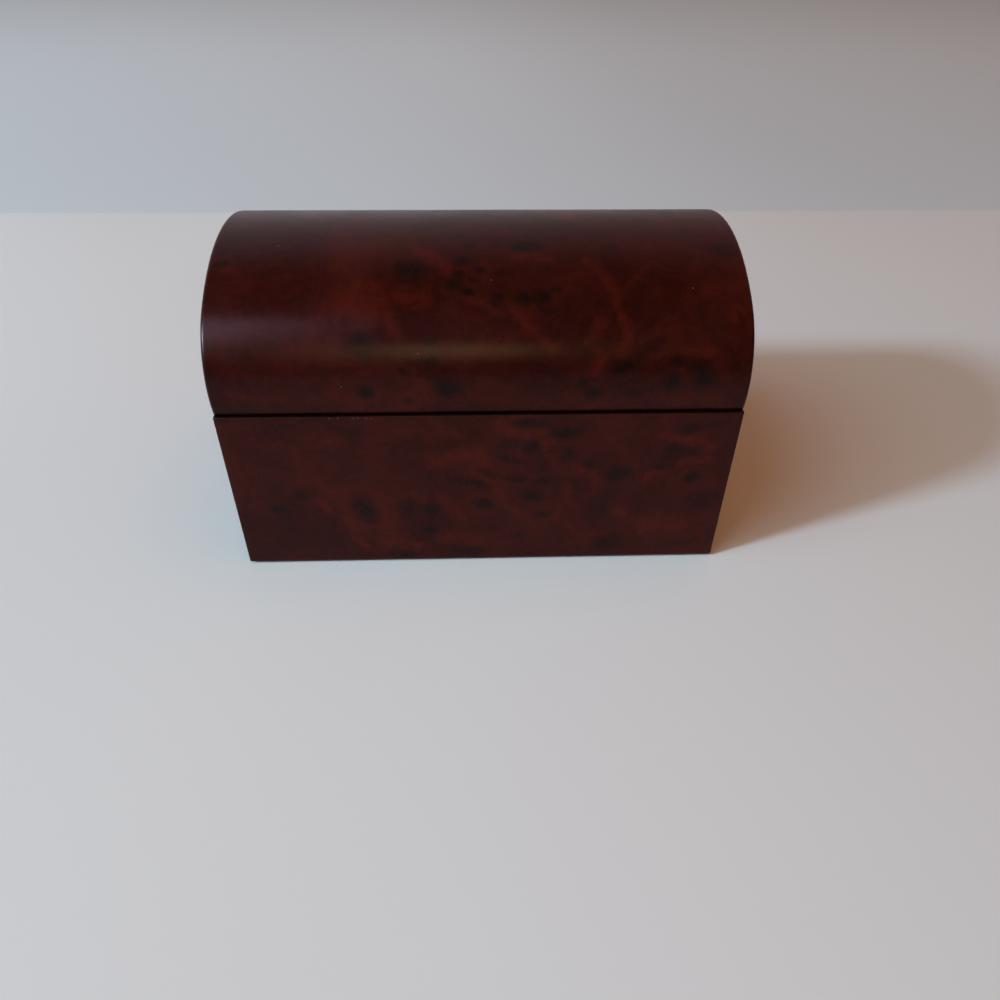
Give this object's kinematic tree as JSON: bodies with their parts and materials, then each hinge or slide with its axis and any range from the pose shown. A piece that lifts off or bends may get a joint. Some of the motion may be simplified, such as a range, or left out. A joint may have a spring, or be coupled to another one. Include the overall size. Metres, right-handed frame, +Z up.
{
  "type": "treasure chest",
  "caption": "Dome-topped burl-veneered casket whose barrel lid swings back on stop hinges over a cloth-lined case with a raised inner lip.",
  "frame": {"origin": "middle of the felt underside that the casket stands on", "axes": "+X along the casket to the right seen from the front, +Y to the back where the hinges are, +Z up"},
  "size_m": [0.203, 0.1315, 0.127],
  "materials": {
    "burl": "satin lacquer over red-brown burl veneer",
    "board": "bare board",
    "suede": "tan suede cloth over card and board",
    "felt": "dark felt",
    "brass": "satin"
  },
  "bodies": {
    "case": {"front_wall": "burl", "back_wall": "burl", "left_wall": "burl", "right_wall": "burl", "floor_board": "board", "underside_felt": "felt", "lining_front": "suede", "lining_right": "suede", "lining_back": "suede", "lining_left": "suede", "floor_pad": "suede", "left_hinge_case_leaf": "brass", "left_hinge_pin": "brass", "left_hinge_case_screw_1": "brass", "left_hinge_case_screw_2": "brass", "left_hinge_case_screw_3": "brass", "right_hinge_case_leaf": "brass", "right_hinge_pin": "brass", "right_hinge_case_screw_1": "brass", "right_hinge_case_screw_2": "brass", "right_hinge_case_screw_3": "brass"},
    "lid": {"lid_crown": "burl", "lid_left_end": "burl", "lid_right_end": "burl", "lid_crown_lining": "suede", "lid_left_lining": "suede", "lid_right_lining": "suede", "left_hinge_lid_leaf": "brass", "left_hinge_lid_screw_1": "brass", "left_hinge_lid_screw_2": "brass", "left_hinge_lid_screw_3": "brass", "right_hinge_lid_leaf": "brass", "right_hinge_lid_screw_1": "brass", "right_hinge_lid_screw_2": "brass", "right_hinge_lid_screw_3": "brass"}
  },
  "joints": [
    {"name": "lid_hinge", "type": "hinge", "parent": "case", "child": "lid", "pos_m": [0, 0.0654, 0.07565], "axis": [-1, 0, 0], "range_deg": [0, 100]}
  ]
}
